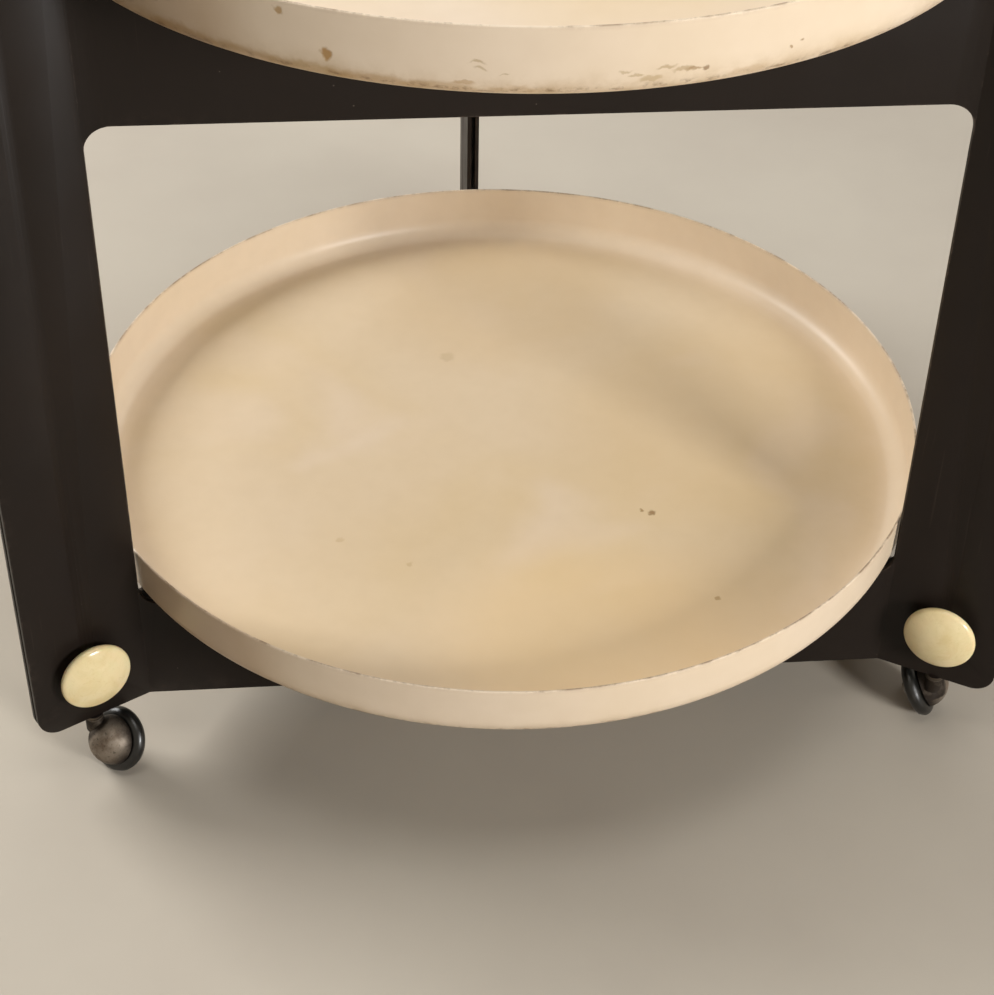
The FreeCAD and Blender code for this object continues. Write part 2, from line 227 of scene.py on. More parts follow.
# %% Clouds in the enamel
CREAM, CREAM_WARM, CREAM_PINK, CREAM_PAINTED_LIGHT = "#E0CDB5", "#D8BF95", "#E4D0B9", "#F0DDC2"
GRIME, RIM_BROWN = "#A58450", "#77583A"
CLOUD_SIZE, BLUSH_SIZE, MOTTLE_SIZE = 230, 120, 14
# How strongly painted light makes the tray's inner wall paler.
WALL_PAINTED_LIGHT = 0.4


def enamel_clouds(tree, place, floor, wall, yellowing):
    """Cream, mixed in turn with yellow clouds, a pink blush, painted light on the inner wall and a brown mottle.
    """
    cloud = add(tree, "TexNoise", {"Vector": place, "Scale": per(CLOUD_SIZE), "Detail": 3.0})
    cloud = add(tree, "MapRange", {"Value": cloud, "From Min": 0.4, "From Max": 0.75,
                                   "To Max": 0.45}, **SMOOTH)
    cloud = add(tree, "Math", {0: floor, 1: yellowing, 2: cloud}, operation="MULTIPLY_ADD",
                use_clamp=True)
    tone = add(tree, "Mix", {SHARE: cloud, UNDER: linear(CREAM), OVER: linear(CREAM_WARM)},
               **COLOURS)
    blush = add(tree, "TexNoise", {"Vector": place, "Scale": per(BLUSH_SIZE), "Detail": 2.0,
                                   "Distortion": 0.6})
    blush = add(tree, "MapRange", {"Value": blush, "From Min": 0.5, "From Max": 0.75,
                                   "To Max": 0.6}, **SMOOTH)
    tone = add(tree, "Mix", {SHARE: blush, UNDER: tone, OVER: linear(CREAM_PINK)}, **COLOURS)
    # Painted light: the inner wall is mixed towards a paler cream, standing in for light it lacks.
    wall_light = add(tree, "Math", {0: wall, 1: WALL_PAINTED_LIGHT}, operation="MULTIPLY")
    tone = add(tree, "Mix", {SHARE: wall_light, UNDER: tone, OVER: linear(CREAM_PAINTED_LIGHT)}, **COLOURS)
    mottle = add(tree, "TexNoise", {"Vector": place, "Scale": per(MOTTLE_SIZE), "Detail": 3.0})
    mottle = add(tree, "MapRange", {"Value": mottle, "From Min": 0.2, "From Max": 0.85,
                                    "To Max": 0.06}, **SMOOTH)
    return add(tree, "Mix", {SHARE: mottle, UNDER: tone, OVER: linear(GRIME)}, **COLOURS)


# %% [markdown]
# Single marks tell a used tray from a new one: chips down to brown metal, stains left by wet
# things, and smears drawn along the wall's foot. A few broad spots are painted light or shade
# instead. Each is a spot round a chosen place, with its outline torn by noise. A stroke is such a
# spot pressed flat, so that it runs along the wall. The sheet is thin, so a mark is kept to its own
# side of it.

# %% Marks on the enamel
CHIP_LIMIT, FLOOR_MARK = 6, 2
STROKE_FLAT, STROKE_RADIUS = 4, 258.8
TEAR_SIZE, TEAR_REACH = 5, 3 * MM
SPOT_CORE = 0.45


def enamel_marks(tree, place, tone, inside, marks, strokes):
    """Spots that fade from their core to their size; gives the new tone and the masks of the chips.

    Marks are x, y, z, size, colour and strength. Strokes leave y out: they lie on the outside of
    the wall at the front, so it follows from x by the tray's circle.
    """
    outside = add(tree, "Math", {0: 1.0, 1: inside}, operation="SUBTRACT")
    torn = add(tree, "TexNoise", {"Vector": place, "Scale": per(TEAR_SIZE), "Detail": 4.0},
               out="Color")
    torn = add(tree, "VectorMath", {0: torn, 1: (2 * TEAR_REACH,) * 3, 2: (-TEAR_REACH,) * 3},
               operation="MULTIPLY_ADD")
    shifted = add(tree, "VectorMath", {0: place, 1: torn}, operation="ADD")
    pressed = add(tree, "VectorMath", {0: shifted, 1: (1, 1, STROKE_FLAT)}, operation="MULTIPLY")
    spots = [(shifted, (x, y, z), z <= FLOOR_MARK, *rest) for x, y, z, *rest in marks]
    spots += [(pressed, (x, -math.sqrt(STROKE_RADIUS ** 2 - x ** 2), z * STROKE_FLAT), False, *rest)
              for x, z, *rest in strokes]
    chips = []
    for at, middle, on_floor, size, colour, strength in spots:
        gap = add(tree, "VectorMath", {0: at, 1: Vector(middle) * MM}, out="Value",
                  operation="DISTANCE")
        spot = add(tree, "MapRange", {"Value": gap, "From Min": size * MM,
                                      "From Max": SPOT_CORE * size * MM, "To Max": strength},
                   **SMOOTH)
        spot = add(tree, "Math", {0: spot, 1: inside if on_floor else outside},
                   operation="MULTIPLY")
        tone = add(tree, "Mix", {SHARE: spot, UNDER: tone, OVER: linear(colour)}, **COLOURS)
        if size < CHIP_LIMIT:
            chips.append(spot)
    return tone, chips


# %% [markdown]
# Wear has its own places: grime gathers low on the outside, knocks line the foot, and the rim is
# rubbed through to brown. The tray brings one attribute for each of these, and noise breaks it up.
# The whole coat gives the eye a satin sheen with a slight wave from the pressing. The floor is
# dulled by scuffing, and bare metal is duller still and lies a little deeper.

# %% Cream enamel
SMEAR_SIZE, KNOCK_SIZE, CHAFE_SIZE, HAZE_SIZE, WAVE_SIZE = 22, 7, 16, 45, 60
FLOOR_SCUFF, BARE_ROUGH = 0.28, 0.7
WAVE_DEPTH, CHIP_DEPTH = 0.6 * MM, 0.15 * MM


def enamel_wear(tree, place, tone, grime):
    """Noise times the skirt, foot and rim attributes; gives the new tone and the rim's mask."""
    skirt = add(tree, "Attribute", attribute_name="skirt", out="Fac")
    smear = add(tree, "TexNoise", {"Vector": place, "Scale": per(SMEAR_SIZE), "Detail": 6.0,
                                   "Roughness": 0.65})
    smear = add(tree, "MapRange", {"Value": smear, "From Min": 0.4, "From Max": 0.72,
                                   "To Max": grime})
    dirt = add(tree, "Math", {0: skirt, 1: smear}, operation="MULTIPLY")
    tone = add(tree, "Mix", {SHARE: dirt, UNDER: tone, OVER: linear(GRIME)}, **COLOURS)

    foot = add(tree, "Attribute", attribute_name="foot", out="Fac")
    knocks = add(tree, "TexNoise", {"Vector": place, "Scale": per(KNOCK_SIZE), "Detail": 6.0,
                                    "Roughness": 0.7})
    knocks = add(tree, "MapRange", {"Value": knocks, "From Min": 0.5, "From Max": 0.63,
                                    "To Max": 0.75})
    knocks = add(tree, "Math", {0: foot, 1: knocks}, operation="MULTIPLY")
    tone = add(tree, "Mix", {SHARE: knocks, UNDER: tone, OVER: linear(RIM_BROWN)}, **COLOURS)

    rim = add(tree, "Attribute", attribute_name="rim", out="Fac")
    chafe = add(tree, "TexNoise", {"Vector": place, "Scale": per(CHAFE_SIZE), "Detail": 7.0,
                                   "Roughness": 0.75})
    chafe = add(tree, "MapRange", {"Value": chafe, "From Min": 0.44, "From Max": 0.6,
                                   "To Max": 0.72})
    worn = add(tree, "Math", {0: rim, 1: chafe}, operation="MULTIPLY")
    tone = add(tree, "Mix", {SHARE: worn, UNDER: tone, OVER: linear(RIM_BROWN)}, **COLOURS)
    return tone, worn


def cream_enamel(name, underside, marks, strokes, grime, yellowing):
    """Stoved enamel for a tray whose underside has a given height."""
    material, tree, shader = new_material(name, IOR=1.5, Specular_IOR_Level=0.3)
    place = add(tree, "Mapping", {"Vector": add(tree, "TexCoord", out="Object"),
                                  "Location": (-tray_axis.x, -tray_axis.y, -underside)})
    floor = add(tree, "Attribute", attribute_name="floor", out="Fac")
    wall = add(tree, "Attribute", attribute_name="wall", out="Fac")
    inside = add(tree, "Math", {0: wall, 1: floor}, operation="ADD", use_clamp=True)
    tone = enamel_clouds(tree, place, floor, wall, yellowing)
    tone, chips = enamel_marks(tree, place, tone, inside, marks, strokes)
    tone, bare = enamel_wear(tree, place, tone, grime)
    for chip in chips:
        bare = add(tree, "Math", {0: bare, 1: chip}, operation="MAXIMUM")
    tree.links.new(tone, shader.inputs["Base Color"])

    haze = add(tree, "TexNoise", {"Vector": place, "Scale": per(HAZE_SIZE), "Detail": 4.0})
    haze = add(tree, "MapRange", {"Value": haze, "From Min": 0.2, "From Max": 0.8, "To Min": 0.32,
                                  "To Max": 0.42}, **SMOOTH)
    haze = add(tree, "Math", {0: floor, 1: FLOOR_SCUFF, 2: haze}, operation="MULTIPLY_ADD")
    rough = add(tree, "MapRange", {"Value": bare, "To Min": haze, "To Max": BARE_ROUGH})
    tree.links.new(rough, shader.inputs["Roughness"])
    wave = add(tree, "TexNoise", {"Vector": place, "Scale": per(WAVE_SIZE), "Detail": 1.0})
    bump = add(tree, "Bump", {"Height": wave, "Strength": 0.35, "Distance": WAVE_DEPTH})
    bump = add(tree, "Bump", {"Height": bare, "Strength": 0.6, "Distance": CHIP_DEPTH,
                              "Normal": bump}, invert=True)
    tree.links.new(bump, shader.inputs["Normal"])
    print(name, len(tree.nodes), "nodes")
    return material


# %% [markdown]
# ## The trays
# A pressed tray is a figure of revolution: floor, rounded corner, a wall that leans out by two
# degrees, and a round rim. Its profile is drawn once, from the middle of the underside round to the
# middle of the floor, and turned. A spun surface would be perfect, which no pressing is, so the
# rim waves by a few tenths of a millimetre and the floor is not quite flat.

# %% Tray profile
TRAY_SHEET, TRAY_CORNER, TRAY_FLARE = 1.6 * MM, 14 * MM, 2.0


def tray_profile():
    """Outside corner, wall and rim as arcs and lines, then back inside one sheet thickness away."""
    lean = math.radians(TRAY_FLARE)
    half = TRAY_SHEET / 2
    rim = np.array((tray_radius - half, tray_depth - half))
    out = np.array((math.cos(lean), -math.sin(lean)))
    rim_out, rim_in = rim + half * out, rim - half * out
    wall = (rim_out[1] - TRAY_CORNER + TRAY_CORNER * math.sin(lean)) / math.cos(lean)
    reach = rim_out[0] - TRAY_CORNER * math.cos(lean) - wall * math.sin(lean)
    centre = np.array((reach, TRAY_CORNER))
    inner = TRAY_CORNER - TRAY_SHEET
    return np.vstack((
        run((0, 0), (reach, 0), 14)[:-1],
        arc(centre, TRAY_CORNER, -90, -TRAY_FLARE, 18),
        run(centre + TRAY_CORNER * out, rim_out, 14)[1:-1],
        arc(rim, half, -TRAY_FLARE, 180 - TRAY_FLARE, 13),
        run(rim_in, centre + inner * out, 14)[1:-1],
        arc(centre, inner, -TRAY_FLARE, -90, 18),
        run((reach, TRAY_SHEET), (0, TRAY_SHEET), 40)[1:],
    ))


# %% [markdown]
# The attributes that the enamel reads are worked out along the profile, by the way from the rim's
# top: outwards and down to the skirt and the foot, inwards over the wall to the floor.

# %% Turn a tray
TRAY_TURNS = 360
RIM_WAVE, RIM_WAVE_FROM, RIM_LOBES = 0.25 * MM, 0.4, ((3, 0.6, 1.0), (7, 2.0, 0.6))
FLOOR_WAVE, SWELL_X, SWELL_Y, SWELL_START = 0.3 * MM, 23, 19, 1.0
RIM_WEAR_WIDTH = 0.9 * MM
SKIRT_TOP, SKIRT_FULL, SKIRT_END = 18 * MM, 36 * MM, 60 * MM
WALL_START, WALL_END, FLOOR_START = 3 * MM, 34 * MM, 55 * MM
FOOT_PLACE, FOOT_WIDTH = 33 * MM, 2.2 * MM


def tray_masks(past_rim):
    """Bells at the rim and the foot, and smooth steps that bound the skirt, wall and floor."""
    skirt = smooth_step(SKIRT_TOP, SKIRT_FULL, -past_rim)
    wall = smooth_step(0, WALL_START, past_rim)
    return {
        "rim": np.exp(-(past_rim / RIM_WEAR_WIDTH) ** 2),
        "skirt": skirt * smooth_step(SKIRT_END, SKIRT_FULL, -past_rim),
        "wall": wall * smooth_step(FLOOR_START, WALL_END, past_rim),
        "floor": smooth_step(WALL_END, FLOOR_START, past_rim),
        "foot": np.exp(-((past_rim + FOOT_PLACE) / FOOT_WIDTH) ** 2),
    }


def make_tray(node, material):
    """Tray turned round its axis; sines of the angle lower the rim, and of x and y wave the floor.

    A lobe is its count round the rim, its start in radians and its share.
    """
    profile = tray_profile()
    steps = np.linalg.norm(np.diff(profile, axis=0), axis=1)
    length = np.concatenate(([0], np.cumsum(steps)))
    past_rim = length - length[np.argmax(profile[:, 1])]
    foot = (tray_axis.x, tray_axis.y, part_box(node)[0].z)
    grid = lathe(profile, TRAY_TURNS, foot, (0, 0, 1))
    angle = np.arange(TRAY_TURNS) * 2 * np.pi / TRAY_TURNS
    lobes = sum(share * np.sin(count * angle + start) for count, start, share in RIM_LOBES)
    highest = sum(share for _, _, share in RIM_LOBES)
    wave = RIM_WAVE * (lobes - highest) / highest
    up_wall = smooth_step(RIM_WAVE_FROM * tray_depth, tray_depth, profile[:, 1])
    grid[..., 2] += np.outer(up_wall, wave)
    swell = np.sin(grid[..., 0] * SWELL_X) * np.cos(grid[..., 1] * SWELL_Y + SWELL_START)
    on_floor = (past_rim > 0) & (profile[:, 1] < 2 * TRAY_SHEET)
    fade = on_floor * (1 - (profile[:, 0] / tray_radius) ** 4)
    grid[..., 2] += FLOOR_WAVE * swell * fade[:, None]
    piece = make_piece(node + "_enamel", grid, material, masks=tray_masks(past_rim))
    stand_for(piece, node)
    print(piece.name, len(piece.data.polygons), "faces")


# %% [markdown]
# Chips and stains are listed in millimetres from the trays' axis and underside. Those in view
# lie where the real ones do. The rest are of the same kind.
# A few broad spots in these lists are painted light or shade rather than stains; each is marked where it stands.

# %% The lower tray
LOWER_MARKS = (
    (-29, 101, 1.6, 7, "#BFA783", 0.5), (-107, -86, 1.6, 3.5, "#C9AE86", 0.6),
    (87, -72, 1.6, 3.2, "#86653F", 0.9), (81, -70, 1.6, 1.8, "#94744A", 0.9),
    (115, -153, 1.6, 2.4, "#9C7C50", 0.9), (-65, -111, 1.6, 2.4, "#C4A87E", 0.6),
    # The first spot on this row is a real ochre stain painted lighter than it is: painted light where the front
    # wall shades the floor.
    (35, -190, 1.6, 120, "#EDCD9A", 0.4), (110, -160, 1.6, 70, "#E0C090", 0.2),
    (150, 20, 1.6, 150, "#D0B17C", 0.35), (10, 170, 1.6, 110, "#CDAF82", 0.3),
    # This spot, low on the outer wall at the left, is painted shade where the wall turns from the light, and
    # partly grime.
    (-190, -175, 12, 80, "#9A6B3A", 0.3),
)
LOWER_STROKES = (
    (-150, 5, 14, "#A27A42", 0.4), (-96, 4, 16, "#A27A42", 0.35), (-40, 4, 10, "#A98350", 0.35),
    (66, 5, 9, "#A27A42", 0.45), (118, 5, 12, "#A27A42", 0.4), (150, 6, 8, "#93703F", 0.45),
)
LOWER_GRIME, LOWER_YELLOWING = 0.35, 0.5
lower_enamel = cream_enamel("cream_enamel_lower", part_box("lower_tray")[0].z, LOWER_MARKS,
                            LOWER_STROKES, LOWER_GRIME, LOWER_YELLOWING)
make_tray("lower_tray", lower_enamel)

# %% [markdown]
# The upper tray is handled more than the lower one: smears run along its foot at the left, and the
# front of its wall is scraped.

# %% The upper tray
UPPER_MARKS = (
    (-123.5, -228.5, 32, 3.2, "#A98655", 0.8), (-104, -238, 16, 3.5, "#A67E48", 0.9),
    (98.5, -239.6, 15.5, 1.4, "#94744C", 0.75), (103.5, -237.5, 17, 1.2, "#94744C", 0.75),
    # The last spot on this row, low on the outer wall at the left, is painted shade where the wall turns from the
    # light, and partly grime.
    (59, -252.5, 12.6, 1.9, "#86694A", 0.8), (-185, -182, 16, 75, "#94693B", 0.35),
    (62, 38, 1.6, 3.0, "#9C7C50", 0.8), (-92, -34, 1.6, 2.2, "#94744A", 0.8),
    (118, -96, 1.6, 2.0, "#A58355", 0.8), (-44, 128, 1.6, 6.5, "#BFA783", 0.45),
    (-20, -60, 1.6, 4.5, "#C4A87E", 0.5), (-70, 50, 1.6, 150, "#DDBD8C", 0.3),
    (120, 80, 1.6, 95, "#D8B786", 0.28), (40, -110, 1.6, 110, "#DFC397", 0.3),
)
UPPER_STROKES = (
    (-168, 6, 28, "#A07840", 0.5), (-140, 5, 30, "#A27A42", 0.5), (-112, 5, 28, "#A6803F", 0.5),
    (-84, 5, 26, "#AA8450", 0.5), (-56, 5, 24, "#AE8A54", 0.45), (-24, 6, 16, "#B8976A", 0.4),
    (-40, 20, 4.5, "#AD946E", 0.6), (-39, 17, 4.0, "#AD946E", 0.55),
    (-28.5, 15, 3.0, "#AD946E", 0.6), (-46, 9.5, 7, "#A98350", 0.5),
    (23.5, 14.8, 3.5, "#AD946E", 0.55), (28, 12.2, 4.5, "#AD946E", 0.6),
    (35, 10.2, 7, "#B0966C", 0.55), (41.5, 15.6, 5.5, "#A58B64", 0.6),
    (49, 13.8, 6, "#A58B64", 0.6), (54, 13.2, 5, "#9A7D56", 0.7), (80, 7, 14, "#B8976A", 0.35),
)
UPPER_GRIME, UPPER_YELLOWING = 0.7, 0.0
upper_enamel = cream_enamel("cream_enamel_upper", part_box("upper_tray")[0].z, UPPER_MARKS,
                            UPPER_STROKES, UPPER_GRIME, UPPER_YELLOWING)
make_tray("upper_tray", upper_enamel)

# %% [markdown]
# ## Black lacquer
# The panels are cut and folded from steel sheet and lacquered black. The lacquer is satin: it shows
# the light as a soft sheen at a flat angle and is warm black elsewhere. Hands leave dull smudges,
# cleaning leaves hairlines, dust settles in specks, and the cut edges are rubbed to brown. The
# edge's wear is found by comparing the true normal with one that is rounded over the nearest edge.
# Real hairlines are a tenth as wide as these, which would be too fine to show.

# %% Black lacquer
BLACK, BLACK_WARM, EDGE_BROWN, DUST = "#16110E", "#211914", "#5E5047", "#7C7066"
BARE_STEEL = "#635A50"
SHADE_SIZE, RUBBED_PATCH, SMUDGE_SIZE = 90, 70, 55
HAIRLINE, PEEL_SIZE, SPECK_GAP, RUB_SIZE = 1.4, 2.2, 9, 11
HAIRLINE_TILT, HAIRLINE_STRETCH = (0.5, 0.3, 0.2), (1.0, 1.0, 0.03)
EDGE_REACH, STEEL_FADE = 1.2 * MM, 0.2 * MM
PEEL_DEPTH, SCRATCH_DEPTH = 0.04 * MM, 0.05 * MM


def black_lacquer(name, bare_below=None):
    """Satin lacquer with smudges, hairlines, dust and worn edges; bare steel below a height."""
    material, tree, shader = new_material(name, IOR=1.5, Specular_IOR_Level=0.2)
    place = add(tree, "TexCoord", out="Object")
    cloud = add(tree, "TexNoise", {"Vector": place, "Scale": per(SHADE_SIZE), "Detail": 5.0})
    tone = add(tree, "Mix", {SHARE: cloud, UNDER: linear(BLACK), OVER: linear(BLACK_WARM)},
               **COLOURS)

    lines = add(tree, "Mapping", {"Vector": place, "Rotation": HAIRLINE_TILT,
                                  "Scale": HAIRLINE_STRETCH})
    lines = add(tree, "TexNoise", {"Vector": lines, "Scale": per(HAIRLINE), "Detail": 1.0})
    lines = add(tree, "MapRange", {"Value": lines, "From Min": 0.7, "From Max": 0.78})
    patch = add(tree, "TexNoise", {"Vector": place, "Scale": per(RUBBED_PATCH), "Detail": 1.0})
    patch = add(tree, "MapRange", {"Value": patch, "From Min": 0.5, "From Max": 0.65,
                                   "To Max": 0.09})
    scratch = add(tree, "Math", {0: lines, 1: patch}, operation="MULTIPLY")
    tone = add(tree, "Mix", {SHARE: scratch, UNDER: tone, OVER: linear(EDGE_BROWN)}, **COLOURS)

    cells = add(tree, "TexVoronoi", {"Vector": place, "Scale": per(SPECK_GAP)}, out="Distance").node
    speck = add(tree, "MapRange", {"Value": cells.outputs["Distance"], "From Min": 0.06,
                                   "From Max": 0.03})
    chosen = add(tree, "MapRange", {"Value": cells.outputs["Color"], "From Min": 0.8,
                                    "From Max": 0.9, "To Max": 0.7})
    speck = add(tree, "Math", {0: speck, 1: chosen}, operation="MULTIPLY")
    tone = add(tree, "Mix", {SHARE: speck, UNDER: tone, OVER: linear(DUST)}, **COLOURS)

    rounded = add(tree, "Bevel", {"Radius": EDGE_REACH}, samples=6)
    flat = add(tree, "NewGeometry", out="True Normal")
    match = add(tree, "VectorMath", {0: rounded, 1: flat}, out="Value", operation="DOT_PRODUCT")
    edge = add(tree, "MapRange", {"Value": match, "From Min": 0.985, "From Max": 0.86})
    rub = add(tree, "TexNoise", {"Vector": place, "Scale": per(RUB_SIZE), "Detail": 6.0,
                                 "Roughness": 0.7})
    rub = add(tree, "MapRange", {"Value": rub, "From Min": 0.5, "From Max": 0.7, "To Max": 0.8})
    edge = add(tree, "Math", {0: edge, 1: rub}, operation="MULTIPLY")
    tone = add(tree, "Mix", {SHARE: edge, UNDER: tone, OVER: linear(EDGE_BROWN)}, **COLOURS)
    if bare_below:
        height = add(tree, "SeparateXYZ", {"Vector": place}, out="Z")
        steel = add(tree, "MapRange", {"Value": height, "From Min": bare_below,
                                       "From Max": bare_below - STEEL_FADE})
        tone = add(tree, "Mix", {SHARE: steel, UNDER: tone, OVER: linear(BARE_STEEL)}, **COLOURS)
        tree.links.new(steel, shader.inputs["Metallic"])
    tree.links.new(tone, shader.inputs["Base Color"])

    smudge = add(tree, "TexNoise", {"Vector": place, "Scale": per(SMUDGE_SIZE), "Detail": 5.0,
                                    "Roughness": 0.6})
    rough = add(tree, "MapRange", {"Value": smudge, "From Min": 0.35, "From Max": 0.7,
                                   "To Min": 0.38, "To Max": 0.54})
    tree.links.new(rough, shader.inputs["Roughness"])
    peel = add(tree, "TexNoise", {"Vector": place, "Scale": per(PEEL_SIZE), "Detail": 2.0})
    bump = add(tree, "Bump", {"Height": peel, "Strength": 0.3, "Distance": PEEL_DEPTH})
    bump = add(tree, "Bump", {"Height": scratch, "Strength": 0.3, "Distance": SCRATCH_DEPTH,
                              "Normal": bump}, invert=True)
    tree.links.new(bump, shader.inputs["Normal"])
    print(name, len(tree.nodes), "nodes")
    return material


lacquer = black_lacquer("black_lacquer")

# %% [markdown]
# ## The panels
# A solid's edges are knife-sharp, and no sheared and lacquered sheet has such edges: a hair's
# breadth of rounding catches the light along every window and fin. The panels could be drawn again,
# but their solids are right. So each is copied, its loose triangles are merged into whole faces,
# and a small bevel rounds every sharp edge.

# %% Panels
EDGE_ROUND, EDGE_STEPS, SHARP_ANGLE = 0.5 * MM, 2, math.radians(35)
MERGE_GAP, FLAT_ANGLE = 0.002 * MM, math.radians(0.4)


def softened_copy(node, material, name, masks=None):
    """Copy of a solid's mesh with merged faces and bevelled edges; masks are made of its points."""
    mesh = nodes[node].data.copy()
    mesh.name = name
    work = bmesh.new()
    work.from_mesh(mesh)
    bmesh.ops.remove_doubles(work, verts=work.verts, dist=MERGE_GAP)
    bmesh.ops.dissolve_limit(work, angle_limit=FLAT_ANGLE, verts=work.verts, edges=work.edges)
    work.to_mesh(mesh)
    work.free()
    spread = {mask: values(points_of(mesh)) for mask, values in (masks or {}).items()}
    piece = new_piece(name, mesh, material, spread)
    bevel = piece.modifiers.new("edge_round", "BEVEL")
    bevel.width, bevel.segments, bevel.angle_limit = EDGE_ROUND, EDGE_STEPS, SHARP_ANGLE
    bevel.harden_normals = True
    stand_for(piece, node)
    print(name, len(mesh.polygons), "faces before the bevel")


for side in ("front", "right", "left"):
    softened_copy("panel_" + side, lacquer, "lacquered_panel_" + side)

# %% [markdown]
# ## Ivory plastic
# The knobs are moulded in a cream plastic that has yellowed to ivory. It gives the eye a clear
# gloss over a body that lets a little light in, faintly mottled, with stains along fine veins. The
# light inside comes from the shader's subsurface, and a vein is where a noise crosses its middle.

# %% Ivory plastic
IVORY, IVORY_DEEP, IVORY_STAIN = "#EAD8AA", "#DFCA96", "#C0A66C"
IVORY_CLOUD, VEIN_GAP, IVORY_HAZE = 18, 9, 6
IVORY_GLOW, IVORY_UNEVEN = 2 * MM, 0.06 * MM


def ivory_plastic():
    """Aged glossy plastic with soft mottling, hairline stains and fine unevenness."""
    material, tree, shader = new_material("ivory_plastic", IOR=1.5, Subsurface_Weight=0.12,
                                          Subsurface_Scale=IVORY_GLOW)
    place = add(tree, "TexCoord", out="Object")
    cloud = add(tree, "TexNoise", {"Vector": place, "Scale": per(IVORY_CLOUD), "Detail": 4.0,
                                   "Distortion": 0.8})
    cloud = add(tree, "MapRange", {"Value": cloud, "From Min": 0.4, "From Max": 0.7})
    tone = add(tree, "Mix", {SHARE: cloud, UNDER: linear(IVORY), OVER: linear(IVORY_DEEP)},
               **COLOURS)
    vein = add(tree, "TexNoise", {"Vector": place, "Scale": per(VEIN_GAP), "Detail": 6.0,
                                  "Distortion": 1.5})
    vein = add(tree, "Math", {0: vein, 1: 0.5}, operation="SUBTRACT")
    vein = add(tree, "Math", {0: vein}, operation="ABSOLUTE")
    vein = add(tree, "MapRange", {"Value": vein, "From Min": 0.014, "From Max": 0.0, "To Max": 0.2})
    tone = add(tree, "Mix", {SHARE: vein, UNDER: tone, OVER: linear(IVORY_STAIN)}, **COLOURS)
    tree.links.new(tone, shader.inputs["Base Color"])
    haze = add(tree, "TexNoise", {"Vector": place, "Scale": per(IVORY_HAZE), "Detail": 5.0})
    rough = add(tree, "MapRange", {"Value": haze, "From Min": 0.3, "From Max": 0.75,
                                   "To Min": 0.14, "To Max": 0.24})
    tree.links.new(rough, shader.inputs["Roughness"])
    bump = add(tree, "Bump", {"Height": haze, "Strength": 0.15, "Distance": IVORY_UNEVEN})
    tree.links.new(bump, shader.inputs["Normal"])
    print("ivory_plastic", len(tree.nodes), "nodes")
    return material


# %% [markdown]
# ## Knobs
# A knob sits on each end of each stud and clamps two flanges together. It is turned: a short neck,
# a flat underside, a rounded edge and a low dome, which is a circle that meets the edge's rounding
# without a corner. Which way a knob faces is read from the side of the stud that its solid lies on.

# %% Knobs
KNOB_RADIUS, KNOB_NECK, KNOB_NECK_HEIGHT = 22 * MM, 11 * MM, 5.5 * MM
KNOB_EDGE, KNOB_DOME = 3 * MM, 4.5 * MM
KNOB_FOOT_ROUND = 1.2 * MM
KNOB_TURNS, KNOB_CREASE = 96, math.radians(50)


def knob_profile():
    """Neck, flat underside, rounded edge and dome, from the neck's foot to the crown."""
    edge = (KNOB_RADIUS - KNOB_EDGE, KNOB_NECK_HEIGHT + KNOB_EDGE)
    rise = KNOB_DOME + KNOB_EDGE
    dome = (edge[0] ** 2 + rise ** 2 - KNOB_EDGE ** 2) / (2 * KNOB_DOME)
    crown = edge[1] + rise
    meeting = math.degrees(math.atan2(edge[1] - (crown - dome), edge[0]))
    throat = (KNOB_NECK + KNOB_FOOT_ROUND, KNOB_NECK_HEIGHT - KNOB_FOOT_ROUND)
    return np.vstack((
        run((0, 0), (KNOB_NECK, 0), 3),
        run((KNOB_NECK, 0), (KNOB_NECK, throat[1]), 4)[1:],
        arc(throat, KNOB_FOOT_ROUND, 180, 90, 6)[1:],
        run((throat[0], KNOB_NECK_HEIGHT), (edge[0], KNOB_NECK_HEIGHT), 5)[1:],
        arc(edge, KNOB_EDGE, -90, meeting, 14)[1:],
        arc((0, crown - dome), dome, meeting, 90, 22)[1:],
    ))


ivory = ivory_plastic()
for node in sorted(name for name in nodes if name.startswith("knob_") and name != "knob_inserts"):
    fin, level = node.split("_")[1:3]
    stud = sum(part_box("stud_" + fin + "_" + level), Vector()) / 2
    outward = Vector((stud.x - tray_axis.x, stud.y - tray_axis.y, 0)).normalized()
    facing = outward.cross(Vector((0, 0, 1)))
    reach = (points_of(nodes[node].data) - np.array(stud)) @ np.array(facing)
    if reach.mean() < 0:
        facing, reach = -facing, -reach
    seat = stud + facing * float(reach.min())
    knob = make_piece(node + "_ivory", lathe(knob_profile(), KNOB_TURNS, seat, facing), ivory)
    knob.data.set_sharp_from_angle(angle=KNOB_CREASE)
    stand_for(knob, node)
print("knobs", round(2 * KNOB_RADIUS / MM), "mm across")

# %% [markdown]
# ## Worn plating
# The casters' domed hoods are pressed steel, once plated. The plating has worn to a dull grey that
# only glows softly where it faces the light, browned in patches and pitted. It is darker round the
# swivel boss, and a dark band along the open edge is painted shade, a dark reflection where the dome
# turns from the light. One blotchy noise steers the brown, the roughness and the dents, so that they
# fall together, as they do on the real thing.

# %% Worn plating
STEEL_GREY, PATINA, DARK_PATINA_AND_SHADE = "#8B8073", "#5F4E3D", "#2A221B"
BLOTCH_SIZE, PIT_SIZE = 9, 2.2
DENT_DEPTH, PIT_DEPTH = 0.4 * MM, 0.08 * MM


